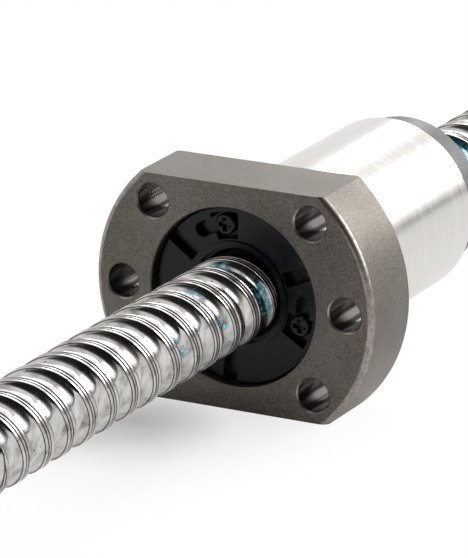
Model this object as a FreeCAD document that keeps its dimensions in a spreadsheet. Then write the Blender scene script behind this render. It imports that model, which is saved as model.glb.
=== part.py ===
"""Flanged ball screw nut on its two-start rolled screw, in millimetres.

Row frame: Y runs along the screw axis, from the front of the flange (-Y) to the rear cap (+Y).
Z is up, across the two flats. The origin is on the axis, in the flange's rear mounting face.
"""
import FreeCAD, Part
import math
import os
import Sketcher
from FreeCAD import Placement, Rotation, Vector

X_AXIS = Vector(1, 0, 0)
Y_AXIS = Vector(0, 1, 0)
Z_AXIS = Vector(0, 0, 1)
ORIGIN = Vector(0, 0, 0)

# Driving sizes: word, value in mm or degrees, what it is
SIZES = [
    ("screw_crest", 11.7, "outer diameter of the rolled screw"),
    ("screw_ahead", 74.0, "screw length in front of the mounting face"),
    ("screw_behind", 67.0, "screw length behind the mounting face"),
    ("screw_chamfer", 0.6, "chamfer on the sawn ends of the screw"),
    ("thread_lead", 10.0, "travel per turn"),
    ("ball_dia", 2.5, "ball diameter"),
    ("ball_circle", 12.2, "diameter of the circle the loaded balls run on"),
    ("ball_gap", 0.1, "gap between a ball and the raceway flats or channel wall"),
    ("flank_angle", 30.0, "angle of a raceway flank's normal from the axis direction"),
    ("front_turnaround", 3.8, "distance of the front turnaround plane ahead of the mounting face"),
    ("flange_margin", 1.75, "steel left between a bolt hole and the flange's round rim"),
    ("flange_flats", 30.0, "distance across the two flats"),
    ("flange_thickness", 10.0, "flange thickness"),
    ("flange_round", 0.9, "radius on the flange's round front edges"),
    ("edge_break", 0.25, "small chamfer on ground edges"),
    ("bolt_circle", 32.0, "bolt circle diameter"),
    ("bolt_hole", 4.5, "bolt hole diameter"),
    ("bolt_angle", 45.0, "angle between neighbouring bolt holes at one side"),
    ("bolt_rim", 0.2, "chamfer on the bolt holes' rims"),
    ("barrel_dia", 24.0, "ground barrel diameter"),
    ("barrel_chamfer", 0.5, "chamfer on the barrel's rear edge"),
    ("land_gap", 0.35, "gap between the nut's lands and the screw's crests"),
    ("front_recess", 23.7, "diameter of the front cap's seat in the flange"),
    ("rear_recess", 22.3, "diameter of the rear cap's seat in the barrel"),
    ("seat_chamfer", 0.15, "chamfer on the rim of the front cap's seat"),
    ("rear_seat_depth", 1.9, "depth of the rear cap's seat in the barrel"),
    ("seat_gap", 0.08, "gap around a cap's spigot in its seat"),
    ("turnaround_depth", 2.0, "turnaround plane to the floor of a cap's seat"),
    ("return_circle", 18.4, "diameter of the circle through the return bores"),
    ("front_cap_setback", 1.3, "front cap face below the flange face"),
    ("rear_cap_reach", 4.8, "rear cap length outside the barrel"),
    ("rear_cap_dia", 23.2, "rear cap diameter outside the barrel"),
    ("cap_bore_gap", 0.55, "gap between a cap's bore and the screw's crests"),
    ("cap_edge", 0.25, "chamfer on the caps' outer edges"),
    ("curb_width", 0.75, "width of the raised ring round a cap's bore"),
    ("curb_rise", 0.3, "height of that ring"),
    ("pocket_depth", 1.2, "depth of the pocket round a cap screw"),
    ("head_clearance", 0.4, "space between a cap screw's head and the pocket's curved walls"),
    ("pocket_start", -13.2, "angle from a cap screw to the pocket's square end"),
    ("pocket_sweep", 22.2, "angle that the pocket spans"),
    ("key_width", 2.0, "width of the curved key pocket and of the rim slot"),
    ("key_circle", 18.8, "diameter of the curved key pocket's centre line"),
    ("key_sweep", 20.0, "angle from the cap screw to the key pocket's round end, less its radius"),
    ("rim_slot_angle", 42.0, "angle from a cap screw to the radial slot that opens at the rim"),
    ("cap_screw_circle", 18.4, "diameter of the circle through the cap screws"),
    ("cap_screw_angle", 101.0, "angle of the first front cap screw, from +X towards +Z"),
    ("cap_screw_shank", 1.6, "cap screw shank diameter"),
    ("cap_screw_head", 2.8, "cap screw head diameter"),
    ("cap_screw_head_height", 0.9, "cap screw head height"),
    ("cap_screw_grip", 3.5, "length of a cap screw inside the nut body"),
    ("cap_screw_gap", 0.06, "gap around a cap screw's shank"),
    ("drive_width", 0.65, "width of the cross recess in a cap screw"),
    ("drive_span", 1.8, "span of the cross recess"),
    ("drive_depth", 0.55, "depth of the cross recess"),
    ("wiper_lip", 0.9, "thickness of cap in front of the wiper ring"),
    ("wiper_width", 1.5, "width of a wiper ring"),
    ("wiper_dia", 14.1, "outer diameter of a wiper ring"),
    ("wiper_gap", 0.15, "gap around a wiper ring in its groove and over the screw"),
    ("notch_width", 3.0, "width of the rear cap's rim notches"),
    ("notch_depth", 1.2, "radial depth of the rear cap's rim notches"),
    ("notch_length", 2.4, "length of the rear cap's rim notches along the axis"),
    ("finger_wall", 0.3, "wall of a deflector beside its ball channel"),
    ("finger_tail", 1.2, "deflector length past the point where balls enter it"),
    ("finger_gap", 0.05, "gap around a deflector in its cap"),
    ("elbow_radius", 2.2, "centre-line radius of the bend in a deflector's channel"),
]

CAP_SCREWS = 3
STARTS = 2
WHOLE_TURNS = 4
BALLS_PER_CIRCUIT = 4
BALLS_PER_RETURN = 1
# Place of a circuit's first loaded ball, as a share of the spacing between them
FIRST_BALL = 0.6

doc = FreeCAD.newDocument("ball_screw_nut")
sheet = doc.addObject("Spreadsheet::Sheet", "Sizes")


class Len:
    """A size that carries its number for placing geometry and its sheet formula for binding it."""

    def __init__(self, value, text):
        self.value = value
        self.text = text

    def joined(self, other, sign, value):
        text = other.text if isinstance(other, Len) else repr(float(other))
        return Len(value, "(%s %s %s)" % (self.text, sign, text))

    def __add__(self, other):
        return self.joined(other, "+", self.value + number(other))

    def __sub__(self, other):
        return self.joined(other, "-", self.value - number(other))

    def __mul__(self, other):
        return self.joined(other, "*", self.value * number(other))

    def __truediv__(self, other):
        return self.joined(other, "/", self.value / number(other))

    def __neg__(self):
        return self * -1


def number(size):
    return size.value if isinstance(size, Len) else float(size)


size = {}
for row, (word, value, meaning) in enumerate(SIZES, start=1):
    sheet.set("A%d" % row, word)
    sheet.set("B%d" % row, repr(value))
    sheet.setAlias("B%d" % row, word)
    sheet.set("C%d" % row, meaning)
    size[word] = Len(value, "Sizes." + word)
doc.recompute()


def bind(thing, setting, length):
    thing.setExpression(setting, length.text)


def origin_feature(body, role):
    return next(item for item in body.Origin.OriginFeatures if item.Role == role)


def new_body(name, placement=None):
    body = doc.addObject("PartDesign::Body", name)
    body.Placement = placement or Placement()
    return body


def new_sketch(body, name, role, offset=None):
    sketch = body.newObject("Sketcher::SketchObject", name)
    sketch.AttachmentSupport = [(origin_feature(body, role), "")]
    sketch.MapMode = "FlatFace"
    sketch.AttachmentOffset = offset or Placement()
    return sketch


def pin_point(sketch, item, end, point, ways="XY"):
    """Tie one end of a curve to its place, measured from the sketch's origin."""
    for coordinate, kind, axis in ((point[0], "DistanceX", -2), (point[1], "DistanceY", -1)):
        if kind[-1] not in ways:
            continue
        if abs(number(coordinate)) < 1e-9:
            sketch.addConstraint(Sketcher.Constraint("PointOnObject", item, end, axis))
            continue
        spot = Sketcher.Constraint(kind, -1, 1, item, end, number(coordinate))
        index = sketch.addConstraint(spot)
        if isinstance(coordinate, Len):
            sketch.setExpression("Constraints[%d]" % index, coordinate.text)


def draw_polygon(sketch, points):
    """Closed outline of straight lines through the given points."""
    spots = [Vector(number(across), number(along), 0) for across, along in points]
    first = len(sketch.Geometry)
    count = len(spots)
    for i in range(count):
        sketch.addGeometry(Part.LineSegment(spots[i], spots[(i + 1) % count]))
    for i in range(count):
        following = first + (i + 1) % count
        sketch.addConstraint(Sketcher.Constraint("Coincident", first + i, 2, following, 1))
        pin_point(sketch, first + i, 1, points[i])


def draw_circle(sketch, diameter, centre=(0, 0)):
    spot = Vector(number(centre[0]), number(centre[1]), 0)
    item = sketch.addGeometry(Part.Circle(spot, Z_AXIS, number(diameter) / 2))
    index = sketch.addConstraint(Sketcher.Constraint("Diameter", item, number(diameter)))
    sketch.setExpression("Constraints[%d]" % index, diameter.text)
    pin_point(sketch, item, 3, centre)


def polar(diameter, degrees):
    """Point at a diameter and an angle, from +X towards +Z."""
    turn = math.radians(degrees)
    return diameter * (math.cos(turn) / 2), diameter * (math.sin(turn) / 2)


def pad(body, name, sketch, length, backwards=False):
    feature = body.newObject("PartDesign::Pad", name)
    feature.Profile = sketch
    bind(feature, "Length", length)
    feature.Reversed = backwards
    doc.recompute()
    return feature


def cut_check(body, name, before):
    """Stop if a cut took nothing away."""
    after = body.Shape.Volume
    if not after < before - 1e-6:
        raise RuntimeError("%s cuts nothing" % name)


def pocket(body, name, sketch, length=None, backwards=False, both=False):
    before = body.Shape.Volume
    feature = body.newObject("PartDesign::Pocket", name)
    feature.Profile = sketch
    feature.Reversed = backwards
    if length is None:
        feature.Type = "ThroughAll"
    else:
        bind(feature, "Length", length)
    feature.Midplane = both
    doc.recompute()
    cut_check(body, name, before)
    return feature


def turned(body, name, sketch, kind="PartDesign::Revolution", angle=None):
    """Revolve or groove a half section about the screw axis."""
    before = body.Shape.Volume if kind.endswith("Groove") else 0
    feature = body.newObject(kind, name)
    feature.Profile = sketch
    feature.ReferenceAxis = (origin_feature(body, "Y_Axis"), [""])
    if angle is None:
        feature.Angle = 360
    else:
        bind(feature, "Angle", angle)
    doc.recompute()
    if kind.endswith("Groove"):
        cut_check(body, name, before)
    return feature


def pattern(body, name, features, count):
    feature = body.newObject("PartDesign::PolarPattern", name)
    feature.Originals = features
    feature.Axis = (origin_feature(body, "Y_Axis"), [""])
    feature.Angle = 360
    feature.Occurrences = count
    body.Tip = feature
    doc.recompute()
    return feature


def break_edges(body, name, kind, length, chosen):
    """Fillet or chamfer the edges of the body's tip for which chosen(edge) is true."""
    tip = body.Tip
    names = ["Edge%d" % (i + 1) for i, edge in enumerate(tip.Shape.Edges) if chosen(edge)]
    if not names:
        raise RuntimeError("%s finds no edge" % name)
    feature = body.newObject(kind, name)
    feature.Base = (tip, names)
    bind(feature, "Radius" if kind.endswith("Fillet") else "Size", length)
    body.Tip = feature
    doc.recompute()
    return feature


def round_about_axis(edge, radius, along, tolerance=0.01):
    """Whether an edge is an arc of this radius about the screw axis, at this place along it."""
    curve = edge.Curve
    if not isinstance(curve, Part.Circle) or abs(curve.Radius - radius) > tolerance:
        return False
    centre = curve.Center
    return math.hypot(centre.x, centre.z) < tolerance and abs(centre.y - along) < tolerance


def about_axis(degrees, along=0.0):
    """Placement turned about the screw axis, from +X towards +Z, and moved along it."""
    return Placement(Vector(0, along, 0), Rotation(Y_AXIS, -degrees))


# Sizes that follow from the driving ones
pitch = size["thread_lead"] / STARTS
crest = size["screw_crest"] / 2
land = crest + size["land_gap"]
channel = size["ball_dia"] + size["ball_gap"] * 2
front_face = -size["flange_thickness"]
front_floor = size["turnaround_depth"] - size["front_turnaround"]
cap_bore = size["screw_crest"] + size["cap_bore_gap"] * 2
cap_front = front_face + size["front_cap_setback"]
enter_angle = 90.0
deflection = math.degrees(math.acos(size["ball_circle"].value / size["return_circle"].value))
return_angle = enter_angle + deflection
loaded_angle = 360.0 * WHOLE_TURNS - 2 * deflection
circuit_length = size["thread_lead"] * (loaded_angle / 360)
rear_turnaround = circuit_length - size["front_turnaround"]
rear_floor = rear_turnaround - size["turnaround_depth"]
barrel_length = rear_floor + size["rear_seat_depth"]
flange_dia = size["bolt_circle"] + size["bolt_hole"] + size["flange_margin"] * 2
pocket_inner = size["cap_screw_circle"] - size["cap_screw_head"] - size["head_clearance"] * 2
pocket_outer = size["cap_screw_circle"] + size["cap_screw_head"] + size["head_clearance"] * 2
rear_screw_angle = 2 * return_angle - size["cap_screw_angle"].value
# A front fitting turned half a turn about this line becomes the rear one of the same circuits
half_turn_line = Vector(math.cos(math.radians(return_angle)), 0, math.sin(math.radians(return_angle)))
swap_ends = Placement(
    Vector(0, rear_turnaround.value - size["front_turnaround"].value, 0), Rotation(half_turn_line, 180)
)


# Half sections that meet a raceway are turned away from the places where its turns join
seam_away = Placement(ORIGIN, Rotation(Y_AXIS, -37))


def groove_half(depth):
    """Half the width, along the axis, of a raceway with flat flanks, this far from the ball circle."""
    slope = math.radians(size["flank_angle"].value)
    reach = size["ball_dia"] / 2 + size["ball_gap"]
    helix_angle = math.atan(size["thread_lead"].value / (math.pi * size["ball_circle"].value))
    return (reach - depth * math.sin(slope)) / (math.cos(slope) * math.cos(helix_angle))


def raceway_cutter(name, start, first, last, inside):
    """One start of the ball thread, as a solid that cuts its groove between two places on the axis."""
    run_in = size["thread_lead"] / 2
    turns = math.ceil((last.value - first.value) / size["thread_lead"].value) + 1
    helix = doc.addObject("Part::Helix", name + "_helix")
    bind(helix, "Pitch", size["thread_lead"])
    bind(helix, "Height", size["thread_lead"] * turns)
    bind(helix, "Radius", size["ball_circle"] / 2)
    helix.SegmentLength = 1.0
    # The groove's centre passes +Z, which is a quarter turn from +X, in the front turnaround plane
    phase = -size["front_turnaround"].value + size["thread_lead"].value / 4
    back = math.ceil((phase - (first - run_in).value) / size["thread_lead"].value)
    along = phase - back * size["thread_lead"].value
    turn = 360.0 * start / STARTS
    helix.Placement = Placement(Vector(0, along, 0), Rotation(Y_AXIS, turn) * Rotation(X_AXIS, -90))
    ball_centre = size["ball_circle"] / 2
    reach = size["ball_dia"] / 2 + size["ball_gap"]
    if inside:
        floor, mouth = ball_centre + reach, land - size["land_gap"] / 2
        mouth_depth = mouth - ball_centre
    else:
        floor, mouth = ball_centre - reach, crest + size["land_gap"] / 2
        mouth_depth = ball_centre - mouth
    half_floor, half_mouth = groove_half(reach), groove_half(mouth_depth)
    section = doc.addObject("Sketcher::SketchObject", name + "_section")
    draw_polygon(
        section,
        [(floor, -half_floor), (floor, half_floor), (mouth, half_mouth), (mouth, -half_mouth)],
    )
    section.Placement = Placement(Vector(0, along, 0), Rotation(Y_AXIS, turn))
    doc.recompute()
    cutter = doc.addObject("Part::Sweep", name)
    cutter.Sections = [section]
    cutter.Spine = (helix, ["Edge%d" % (i + 1) for i in range(len(helix.Shape.Edges))])
    cutter.Solid = True
    cutter.Frenet = True
    doc.recompute()
    return cutter


def cut_raceways(blank, name, first, last, inside):
    """Cut every start of the ball thread into a blank."""
    result = blank
    for start in range(STARTS):
        cutter = raceway_cutter("%s_raceway_%d" % (name, start + 1), start, first, last, inside)
        cut = doc.addObject("Part::Cut", "%s_cut_%d" % (name, start + 1))
        cut.Base = result
        cut.Tool = cutter
        cut.Refine = False
        doc.recompute()
        if not cut.Shape.Volume < result.Shape.Volume - 1.0:
            raise RuntimeError("%s start %d cuts nothing" % (name, start + 1))
        result = cut
    result.Label = name
    return result


# The screw: a bar with chamfered ends and two opposite ball grooves
def make_screw():
    bar = new_body("screw_bar")
    section = new_sketch(bar, "bar_section", "XY_Plane", seam_away)
    near, far = -size["screw_ahead"], size["screw_behind"]
    slope = size["screw_chamfer"]
    draw_polygon(
        section,
        [(0, near), (crest - slope, near), (crest, near + slope), (crest, far - slope), (crest - slope, far), (0, far)],
    )
    turned(bar, "bar", section)
    return cut_raceways(bar, "screw_shaft", near, far, inside=False)


# The nut body: flange and barrel in one, bored for the screw, the caps and the returning balls
def make_nut_body():
    blank = new_body("nut_blank")
    outline = new_sketch(blank, "flange_outline", "XZ_Plane")
    round_radius = flange_dia / 2
    half_flats = size["flange_flats"] / 2
    corner = math.asin(half_flats.value / round_radius.value)
    half_width = Len(
        round_radius.value * math.cos(corner), "sqrt(%s ^ 2 - %s ^ 2)" % (round_radius.text, half_flats.text)
    )
    circle = Part.Circle(ORIGIN, Z_AXIS, round_radius.value)
    outline.addGeometry(Part.ArcOfCircle(circle, -corner, corner))
    outline.addGeometry(Part.LineSegment(
        Vector(half_width.value, half_flats.value, 0), Vector(-half_width.value, half_flats.value, 0)))
    outline.addGeometry(Part.ArcOfCircle(circle, math.pi - corner, math.pi + corner))
    outline.addGeometry(Part.LineSegment(
        Vector(-half_width.value, -half_flats.value, 0), Vector(half_width.value, -half_flats.value, 0)))
    for item, end, following, start in ((0, 2, 1, 1), (1, 2, 2, 1), (2, 2, 3, 1), (3, 2, 0, 1)):
        outline.addConstraint(Sketcher.Constraint("Coincident", item, end, following, start))
    pin_point(outline, 0, 3, (0, 0), "X")
    pin_point(outline, 2, 3, (0, 0), "X")
    pin_point(outline, 1, 1, (half_width, half_flats))
    pin_point(outline, 1, 2, (-half_width, half_flats))
    pin_point(outline, 3, 1, (-half_width, -half_flats))
    pin_point(outline, 3, 2, (half_width, -half_flats))
    pad(blank, "flange", outline, size["flange_thickness"])

    barrel = new_sketch(blank, "barrel_outline", "XZ_Plane")
    draw_circle(barrel, size["barrel_dia"])
    pad(blank, "barrel", barrel, barrel_length, backwards=True)

    rear_end = barrel_length.value
    break_edges(blank, "barrel_end", "PartDesign::Chamfer", size["barrel_chamfer"],
                lambda edge: round_about_axis(edge, size["barrel_dia"].value / 2, rear_end))
    break_edges(blank, "front_round", "PartDesign::Fillet", size["flange_round"],
                lambda edge: round_about_axis(edge, round_radius.value, front_face.value))
    break_edges(blank, "rear_round", "PartDesign::Chamfer", size["edge_break"],
                lambda edge: round_about_axis(edge, round_radius.value, 0.0))

    holes = new_sketch(blank, "bolt_holes_side", "XZ_Plane")
    for step in (-1, 0, 1):
        draw_circle(holes, size["bolt_hole"], polar(size["bolt_circle"], step * size["bolt_angle"].value))
    side = pocket(blank, "bolt_holes", holes, size["flange_thickness"] * 2, both=True)
    pattern(blank, "bolt_holes_both_sides", [side], 2)
    hole_radius = size["bolt_hole"].value / 2
    break_edges(blank, "bolt_rims", "PartDesign::Chamfer", size["bolt_rim"],
                lambda edge: isinstance(edge.Curve, Part.Circle)
                and abs(edge.Curve.Radius - hole_radius) < 0.01
                and abs(abs(edge.Curve.Axis.y) - 1) < 0.01)

    section = new_sketch(blank, "bore_section", "XY_Plane", seam_away)
    front_seat, rear_seat = size["front_recess"] / 2, size["rear_recess"] / 2
    beyond = barrel_length + size["barrel_chamfer"]
    ahead = front_face - size["edge_break"]
    # The polygon runs a little past both end faces, so that both seats open cleanly
    draw_polygon(
        section,
        [(0, ahead), (front_seat, ahead), (front_seat, front_floor), (land, front_floor),
         (land, rear_floor), (rear_seat, rear_floor), (rear_seat, beyond), (0, beyond)],
    )
    turned(blank, "bore_and_seats", section, "PartDesign::Groove")
    break_edges(blank, "seat_edge", "PartDesign::Chamfer", size["seat_chamfer"],
                lambda edge: round_about_axis(edge, front_seat.value, front_face.value))

    returns = new_sketch(blank, "return_bore", "XZ_Plane")
    draw_circle(returns, channel, polar(size["return_circle"], return_angle))
    drilled = pocket(blank, "return_bore_cut", returns, barrel_length * 2 + size["flange_thickness"] * 2,
                     both=True)
    pattern(blank, "return_bores", [drilled], STARTS)

    thread = size["cap_screw_shank"] + size["cap_screw_gap"] * 2
    depth = size["cap_screw_grip"] + size["cap_screw_gap"] * 4
    for end, angle, floor in (("front", size["cap_screw_angle"].value, front_floor),
                              ("rear", rear_screw_angle, rear_floor)):
        lift = Placement(Vector(0, 0, -floor.value), Rotation())
        tapped = new_sketch(blank, end + "_tapped_hole", "XZ_Plane", lift)
        draw_circle(tapped, thread, polar(size["cap_screw_circle"], angle))
        hole = pocket(blank, end + "_tapped_cut", tapped, depth, backwards=end == "rear")
        pattern(blank, end + "_tapped_holes", [hole], CAP_SCREWS)
    return cut_raceways(blank, "nut_body", front_floor, rear_floor, inside=True)


def cap_features(cap, angle, inner_floor, front):
    """Screw holes through a cap and the slots for its deflectors, cut from the inner side."""
    shank = size["cap_screw_shank"] + size["cap_screw_gap"] * 2
    at_floor = Vector(0, 0, -inner_floor.value)
    hole = new_sketch(cap, "screw_hole", "XZ_Plane", Placement(at_floor, Rotation()))
    draw_circle(hole, shank, polar(size["cap_screw_circle"], angle))
    drilled = pocket(cap, "screw_hole_cut", hole, size["flange_thickness"] * 4, both=True)
    pattern(cap, "screw_holes", [drilled], CAP_SCREWS)

    # The rear cap's slots are the front ones turned over, as its deflectors are
    turn_over = Rotation(Vector(half_turn_line.x, half_turn_line.z, 0), 0 if front else 180)
    slot = new_sketch(cap, "deflector_slot", "XZ_Plane", Placement(at_floor, turn_over))
    draw_finger(slot, size["finger_gap"])
    cut = pocket(cap, "deflector_slot_cut", slot, finger_thickness + size["finger_gap"], backwards=True)
    pattern(cap, "deflector_slots", [cut], STARTS)


finger_half = channel / 2 + size["finger_wall"]
finger_thickness = size["turnaround_depth"] + channel / 2 + size["finger_wall"]
finger_reach = Len(
    math.sqrt(size["return_circle"].value ** 2 - size["ball_circle"].value ** 2) / 2,
    "(sqrt(%s ^ 2 - %s ^ 2) / 2)" % (size["return_circle"].text, size["ball_circle"].text),
)


def draw_finger(sketch, gap):
    """Outline of a deflector: a bar along the line that touches the ball circle, from a round end
    about the return bore to a square end past the place where balls enter it."""
    half = finger_half + gap
    tail = size["finger_tail"] + gap
    middle = size["ball_circle"] / 2
    corners = [(-finger_reach, middle - half), (tail, middle - half), (tail, middle + half),
               (-finger_reach, middle + half)]
    spots = [Vector(number(across), number(up), 0) for across, up in corners]
    centre = Vector(-finger_reach.value, middle.value, 0)
    bar_end = Part.Circle(centre, Z_AXIS, half.value)
    end = sketch.addGeometry(Part.ArcOfCircle(bar_end, math.pi / 2, 3 * math.pi / 2))
    for i in range(3):
        sketch.addGeometry(Part.LineSegment(spots[i], spots[i + 1]))
    for item, following in ((end, end + 1), (end + 1, end + 2), (end + 2, end + 3), (end + 3, end)):
        sketch.addConstraint(Sketcher.Constraint("Coincident", item, 2, following, 1))
    for i in range(3):
        pin_point(sketch, end + 1 + i, 1, corners[i])
    pin_point(sketch, end + 3, 2, corners[3])
    pin_point(sketch, end, 3, (-finger_reach, middle), "X")


# The front cap: a moulded disc in the flange's seat, with its pockets round the screws
def make_front_cap():
    cap = new_body("front_end_cap")
    section = new_sketch(cap, "cap_section", "XY_Plane")
    bore = cap_bore / 2
    edge = size["front_recess"] / 2 - size["seat_gap"]
    curb = bore + size["curb_width"]
    proud = cap_front - size["curb_rise"]
    ring_from = proud + size["wiper_lip"]
    ring_to = ring_from + size["wiper_width"] + size["wiper_gap"] * 2
    ring_seat = size["wiper_dia"] / 2 + size["wiper_gap"]
    slope = size["cap_edge"]
    draw_polygon(
        section,
        [(bore, proud), (curb, proud), (curb, cap_front), (edge - slope, cap_front), (edge, cap_front + slope),
         (edge, front_floor), (bore, front_floor), (bore, ring_to), (ring_seat, ring_to), (ring_seat, ring_from),
         (bore, ring_from)],
    )
    turned(cap, "disc", section)

    angle = size["cap_screw_angle"].value
    floor = cap_front + size["pocket_depth"]
    above = cap_front - size["edge_break"]

    pocket_turn = Placement(ORIGIN, Rotation(Y_AXIS, -(angle + size["pocket_start"].value)))
    hollow = new_sketch(cap, "screw_pocket", "XY_Plane", pocket_turn)
    inner, outer = pocket_inner / 2, pocket_outer / 2
    draw_polygon(hollow, [(inner, above), (outer, above), (outer, floor), (inner, floor)])
    hollow_cut = turned(cap, "screw_pocket_cut", hollow, "PartDesign::Groove", size["pocket_sweep"])
    hollow_cut.Reversed = True
    doc.recompute()

    key_turn = Placement(ORIGIN, Rotation(Y_AXIS, -angle))
    key = new_sketch(cap, "key_pocket", "XY_Plane", key_turn)
    centre = size["key_circle"] / 2
    half_key = size["key_width"] / 2
    draw_polygon(
        key, [(centre - half_key, above), (centre + half_key, above), (centre + half_key, floor), (centre - half_key, floor)]
    )
    key_cut = turned(cap, "key_pocket_cut", key, "PartDesign::Groove", size["key_sweep"])
    key_cut.Reversed = True
    doc.recompute()

    at_face = Placement(Vector(0, 0, -cap_front.value), Rotation())
    key_end = new_sketch(cap, "key_end", "XZ_Plane", at_face)
    draw_circle(key_end, size["key_width"], polar(size["key_circle"], angle + size["key_sweep"].value))
    end_cut = pocket(cap, "key_end_cut", key_end, size["pocket_depth"])

    rim = new_sketch(cap, "rim_slot", "XZ_Plane", Placement(
        Vector(0, 0, -cap_front.value), Rotation(Z_AXIS, angle + size["rim_slot_angle"].value)))
    beyond = edge + size["edge_break"]
    draw_polygon(rim, [(inner, -half_key), (beyond, -half_key), (beyond, half_key), (inner, half_key)])
    rim_cut = pocket(cap, "rim_slot_cut", rim, size["pocket_depth"])
    pattern(cap, "pockets", [hollow_cut, key_cut, end_cut, rim_cut], CAP_SCREWS)
    cap_features(cap, angle, front_floor, front=True)
    return cap


# The rear cap: its spigot sits in the barrel and its notched rim stands out behind it
def make_rear_cap():
    cap = new_body("rear_end_cap")
    section = new_sketch(cap, "cap_section", "XY_Plane")
    bore = cap_bore / 2
    spigot = size["rear_recess"] / 2 - size["seat_gap"]
    rim = size["rear_cap_dia"] / 2
    shoulder = barrel_length
    back = shoulder + size["rear_cap_reach"]
    ring_to = back - size["wiper_lip"]
    ring_from = ring_to - size["wiper_width"] - size["wiper_gap"] * 2
    ring_seat = size["wiper_dia"] / 2 + size["wiper_gap"]
    slope = size["cap_edge"]
    draw_polygon(
        section,
        [(bore, rear_floor), (spigot, rear_floor), (spigot, shoulder), (rim, shoulder), (rim, back - slope),
         (rim - slope, back), (bore, back), (bore, ring_to), (ring_seat, ring_to), (ring_seat, ring_from),
         (bore, ring_from)],
    )
    turned(cap, "disc", section)
    at_back = Placement(Vector(0, 0, -back.value), Rotation())
    seat = new_sketch(cap, "head_seat", "XZ_Plane", at_back)
    head_seat = size["cap_screw_head"] + size["cap_screw_gap"] * 8
    draw_circle(seat, head_seat, polar(size["cap_screw_circle"], rear_screw_angle))
    seat_cut = pocket(cap, "head_seat_cut", seat, size["pocket_depth"], backwards=True)
    notch = new_sketch(cap, "rim_notch", "XZ_Plane", Placement(
        Vector(0, 0, -back.value), Rotation(Z_AXIS, rear_screw_angle + 180.0 / CAP_SCREWS)))
    half = size["notch_width"] / 2
    beyond = rim + size["edge_break"]
    draw_polygon(
        notch, [(rim - size["notch_depth"], -half), (beyond, -half), (beyond, half), (rim - size["notch_depth"], half)]
    )
    notch_cut = pocket(cap, "rim_notch_cut", notch, size["notch_length"], backwards=True)
    pattern(cap, "seats_and_notches", [seat_cut, notch_cut], CAP_SCREWS)
    cap_features(cap, rear_screw_angle, rear_floor, front=False)
    return cap


# A cap screw: cheese head with a cross recess, modelled along -Y with its head's underside at Y = 0
def make_cap_screw(name, placement, length):
    screw = new_body(name, placement)
    section = new_sketch(screw, "screw_section", "XY_Plane")
    head, shank = size["cap_screw_head"] / 2, size["cap_screw_shank"] / 2
    top = -size["cap_screw_head_height"]
    slope = size["cap_screw_gap"] * 3
    draw_polygon(
        section,
        [(0, top), (head - slope, top), (head, top + slope), (head, 0), (shank, 0), (shank, length - slope),
         (shank - slope, length), (0, length)],
    )
    turned(screw, "turned_screw", section)
    at_top = Placement(Vector(0, 0, size["cap_screw_head_height"].value), Rotation())
    cross = new_sketch(screw, "drive", "XZ_Plane", at_top)
    arm, span = size["drive_width"] / 2, size["drive_span"] / 2
    draw_polygon(
        cross,
        [(arm, arm), (span, arm), (span, -arm), (arm, -arm), (arm, -span), (-arm, -span), (-arm, -arm), (-span, -arm),
         (-span, arm), (-arm, arm), (-arm, span), (arm, span)],
    )
    pocket(screw, "drive_cut", cross, size["drive_depth"])
    return screw


def make_cap_screws():
    seat_front = cap_front + size["pocket_depth"]
    back = barrel_length + size["rear_cap_reach"]
    seat_rear = back - size["pocket_depth"]
    radius = size["cap_screw_circle"].value / 2
    made = []
    for i in range(CAP_SCREWS):
        turn = 360.0 / CAP_SCREWS * i
        across, up = (part.value for part in polar(size["cap_screw_circle"], size["cap_screw_angle"].value + turn))
        length = front_floor - seat_front + size["cap_screw_grip"]
        placement = Placement(Vector(across, seat_front.value, up), Rotation())
        made.append(make_cap_screw("front_cap_screw_%d" % (i + 1), placement, length))
        across, up = (part.value for part in polar(size["cap_screw_circle"], rear_screw_angle + turn))
        length = seat_rear - rear_floor + size["cap_screw_grip"]
        placement = Placement(Vector(across, seat_rear.value, up), Rotation(X_AXIS, 180))
        made.append(make_cap_screw("rear_cap_screw_%d" % (i + 1), placement, length))
    return made


# A deflector: the insert that lifts balls out of a raceway and bends their path into the return bore
def make_deflector(name, placement):
    finger = new_body(name, placement)
    outline = new_sketch(finger, "outline", "XZ_Plane", Placement(Vector(0, 0, -front_floor.value), Rotation()))
    draw_finger(outline, size["finger_gap"] * 0)
    pad(finger, "bar", outline, finger_thickness)
    bore = new_sketch(finger, "bore", "XZ_Plane")
    draw_circle(bore, cap_bore)
    pocket(finger, "bore_cut", bore, size["flange_thickness"] * 4, both=True)

    plane = -size["front_turnaround"]
    elbow = size["elbow_radius"]
    middle = size["ball_circle"] / 2
    path = new_sketch(finger, "channel_path", "XY_Plane", Placement(Vector(0, 0, middle.value), Rotation()))
    start = size["finger_tail"] * 2
    corner = (elbow - finger_reach, plane + elbow)
    stops = [(start, plane), (corner[0], plane), (-finger_reach, corner[1]), (-finger_reach, front_floor + elbow)]
    spots = [Vector(number(across), number(along), 0) for across, along in stops]
    bend = Part.Circle(Vector(corner[0].value, corner[1].value, 0), Z_AXIS, elbow.value)
    path.addGeometry(Part.LineSegment(spots[0], spots[1]))
    path.addGeometry(Part.ArcOfCircle(bend, math.pi, 3 * math.pi / 2))
    path.addGeometry(Part.LineSegment(spots[2], spots[3]))
    path.addConstraint(Sketcher.Constraint("Coincident", 0, 2, 1, 2))
    path.addConstraint(Sketcher.Constraint("Coincident", 1, 1, 2, 1))
    for item, end, stop in ((0, 1, 0), (0, 2, 1), (2, 1, 2), (2, 2, 3)):
        pin_point(path, item, end, stops[stop])
    pin_point(path, 1, 3, corner, "X")
    doc.recompute()
    mouth = new_sketch(finger, "channel_section", "YZ_Plane", Placement(Vector(0, 0, start.value), Rotation()))
    draw_circle(mouth, channel, (plane, middle))
    doc.recompute()
    before = finger.Shape.Volume
    bored = finger.newObject("PartDesign::SubtractivePipe", "channel")
    bored.Profile = mouth
    bored.Spine = (path, [])
    doc.recompute()
    cut_check(finger, "channel", before)
    return finger


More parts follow.
